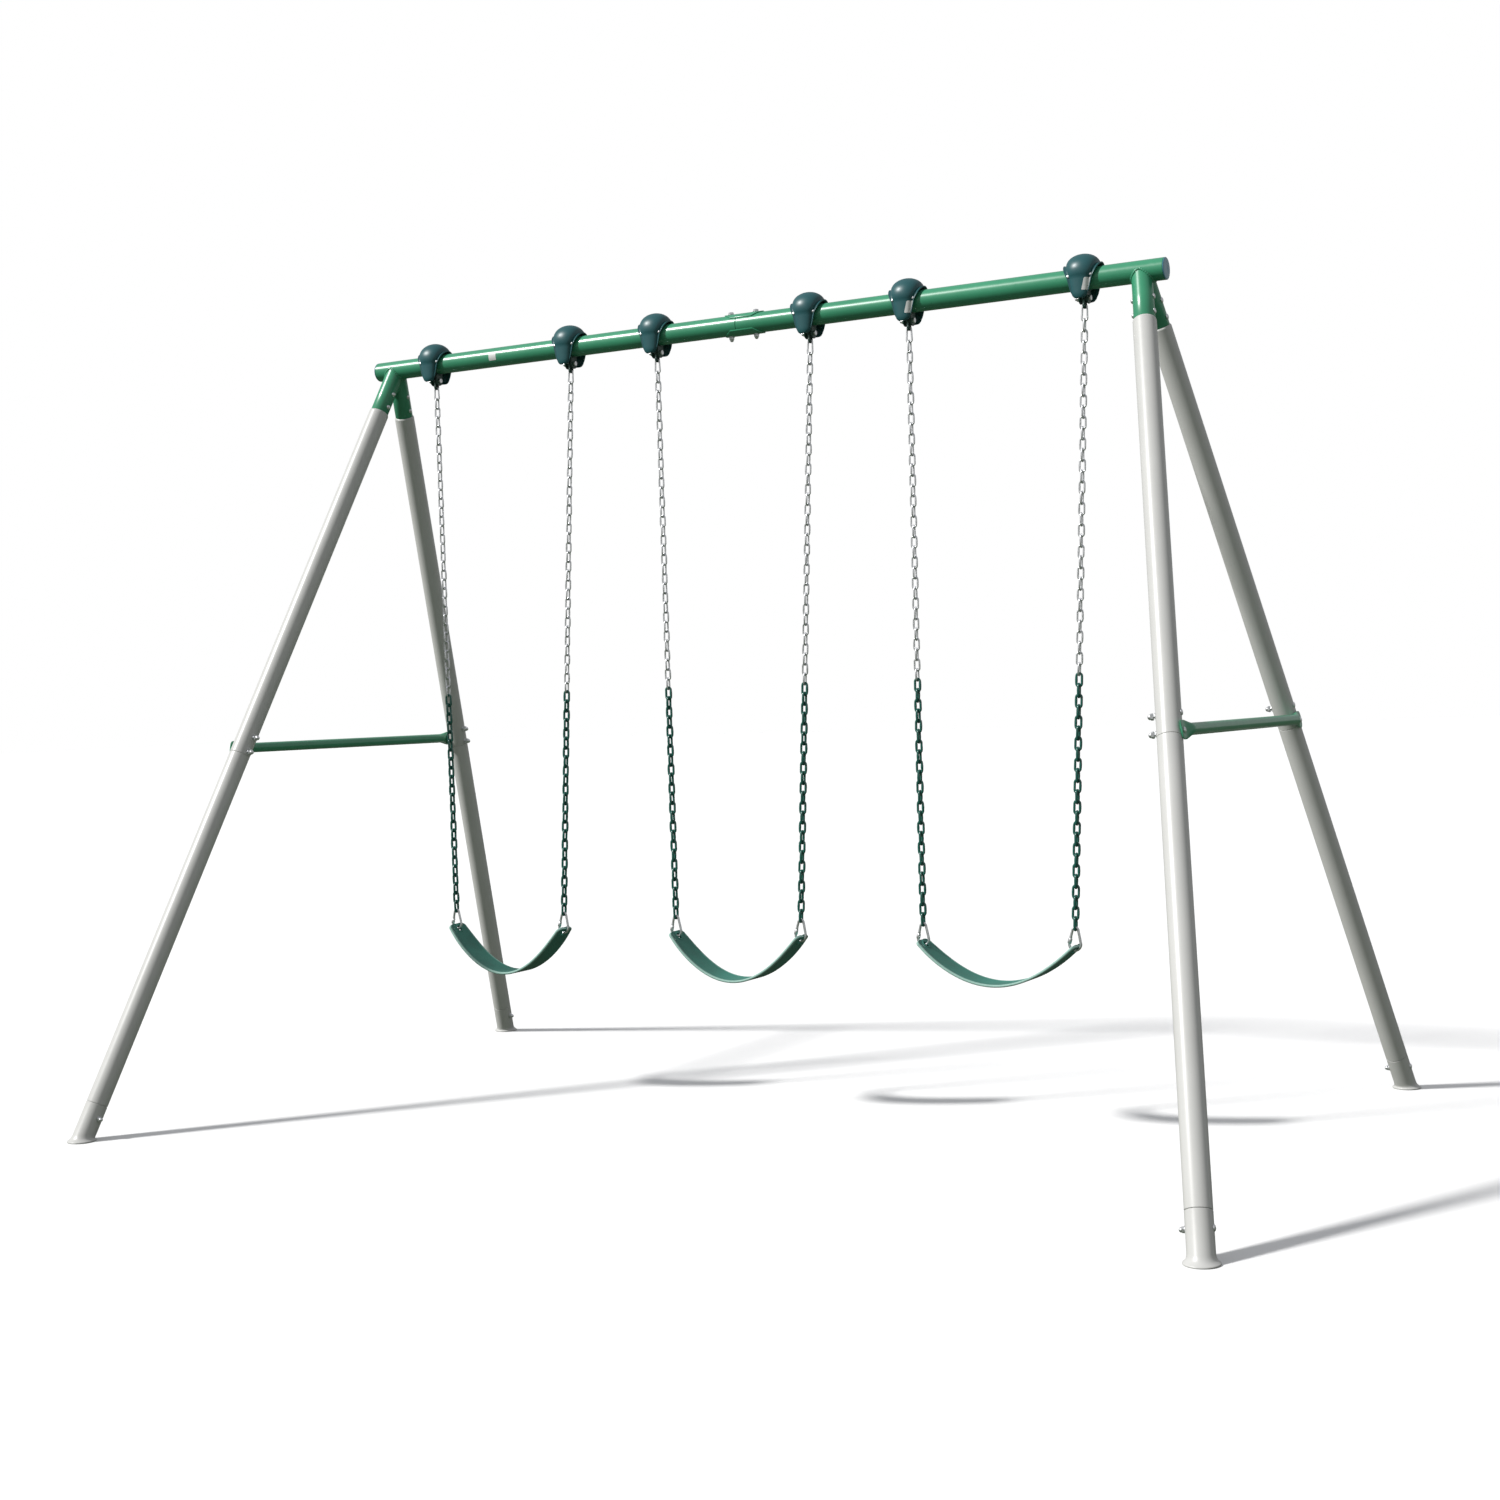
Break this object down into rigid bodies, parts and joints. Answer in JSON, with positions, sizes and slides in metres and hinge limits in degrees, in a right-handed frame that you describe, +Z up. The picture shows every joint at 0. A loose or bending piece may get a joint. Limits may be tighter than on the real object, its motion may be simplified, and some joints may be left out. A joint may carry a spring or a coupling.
{
  "type": "swing set",
  "caption": "Free-standing swing set: a round beam on two splayed A-frames, with curved belt seats that hang on chains from domed pivot hangers.",
  "frame": {"origin": "on the floor, under the middle of the beam", "axes": "+X along the beam to the right seen from the front, -Y to the front, +Z up"},
  "size_m": [3.287, 2.095, 2.3023],
  "materials": {
    "green_paint": "glossy green powder coat",
    "white_paint": "satin off-white powder coat",
    "cover_plastic": "glossy dark teal moulding",
    "bracket_paint": "dark green paint",
    "zinc": "zinc-plated steel; the lower part of each chain is coated dark green",
    "nylon": "matte dark green moulding",
    "seat_rubber": "fine-grained matte dark green belt"
  },
  "bodies": {
    "frame": {"beam_left": "green_paint", "beam_right": "green_paint", "end_cap_left": "green_paint", "end_cap_right": "green_paint", "splice_plate_top": "green_paint", "splice_plate_bottom": "green_paint", "upper_leg_left_front": "white_paint", "upper_leg_left_rear": "white_paint", "upper_leg_right_front": "white_paint", "upper_leg_right_rear": "white_paint", "lower_leg_left_front": "white_paint", "lower_leg_left_rear": "white_paint", "lower_leg_right_front": "white_paint", "lower_leg_right_rear": "white_paint", "foot_left_front": "white_paint", "foot_left_rear": "white_paint", "foot_right_front": "white_paint", "foot_right_rear": "white_paint", "crossbar_left": "green_paint", "crossbar_right": "green_paint", "hanger_cover_1_left": "cover_plastic", "hanger_cover_1_right": "cover_plastic", "hanger_cover_2_left": "cover_plastic", "hanger_cover_2_right": "cover_plastic", "hanger_cover_3_left": "cover_plastic", "hanger_cover_3_right": "cover_plastic", "hanger_bracket_1_left": "bracket_paint", "hanger_bracket_1_right": "bracket_paint", "hanger_bracket_2_left": "bracket_paint", "hanger_bracket_2_right": "bracket_paint", "hanger_bracket_3_left": "bracket_paint", "hanger_bracket_3_right": "bracket_paint", "pivot_bolt_1_left": "zinc", "pivot_bolt_1_right": "zinc", "pivot_bolt_2_left": "zinc", "pivot_bolt_2_right": "zinc", "pivot_bolt_3_left": "zinc", "pivot_bolt_3_right": "zinc"},
    "swing_1": {"pendulum_1_left": "nylon", "chain_1_left": "zinc", "snap_ring_1_left": "zinc", "pendulum_1_right": "nylon", "chain_1_right": "zinc", "snap_ring_1_right": "zinc"},
    "seat_1_body": {"seat_1": "seat_rubber"},
    "swing_2": {"pendulum_2_left": "nylon", "chain_2_left": "zinc", "snap_ring_2_left": "zinc", "pendulum_2_right": "nylon", "chain_2_right": "zinc", "snap_ring_2_right": "zinc"},
    "seat_2_body": {"seat_2": "seat_rubber"},
    "swing_3": {"pendulum_3_left": "nylon", "chain_3_left": "zinc", "snap_ring_3_left": "zinc", "pendulum_3_right": "nylon", "chain_3_right": "zinc", "snap_ring_3_right": "zinc"},
    "seat_3_body": {"seat_3": "seat_rubber"}
  },
  "joints": [
    {"name": "swing_1_pivot", "type": "hinge", "parent": "frame", "child": "swing_1", "pos_m": [-0.7985, 0, 2.191], "axis": [1, 0, 0], "range_deg": [-60, 60]},
    {"name": "seat_1_pitch", "type": "hinge", "parent": "swing_1", "child": "seat_1_body", "pos_m": [-0.8385, 0, 0.50196], "axis": [1, 0, 0], "range_deg": [-35, 35]},
    {"name": "swing_2_pivot", "type": "hinge", "parent": "frame", "child": "swing_2", "pos_m": [0, 0, 2.191], "axis": [1, 0, 0], "range_deg": [-60, 60]},
    {"name": "seat_2_pitch", "type": "hinge", "parent": "swing_2", "child": "seat_2_body", "pos_m": [-0.04, 0, 0.50196], "axis": [1, 0, 0], "range_deg": [-35, 35]},
    {"name": "swing_3_pivot", "type": "hinge", "parent": "frame", "child": "swing_3", "pos_m": [0.7985, 0, 2.191], "axis": [1, 0, 0], "range_deg": [-60, 60]},
    {"name": "seat_3_pitch", "type": "hinge", "parent": "swing_3", "child": "seat_3_body", "pos_m": [0.7585, 0, 0.50196], "axis": [1, 0, 0], "range_deg": [-35, 35]}
  ]
}
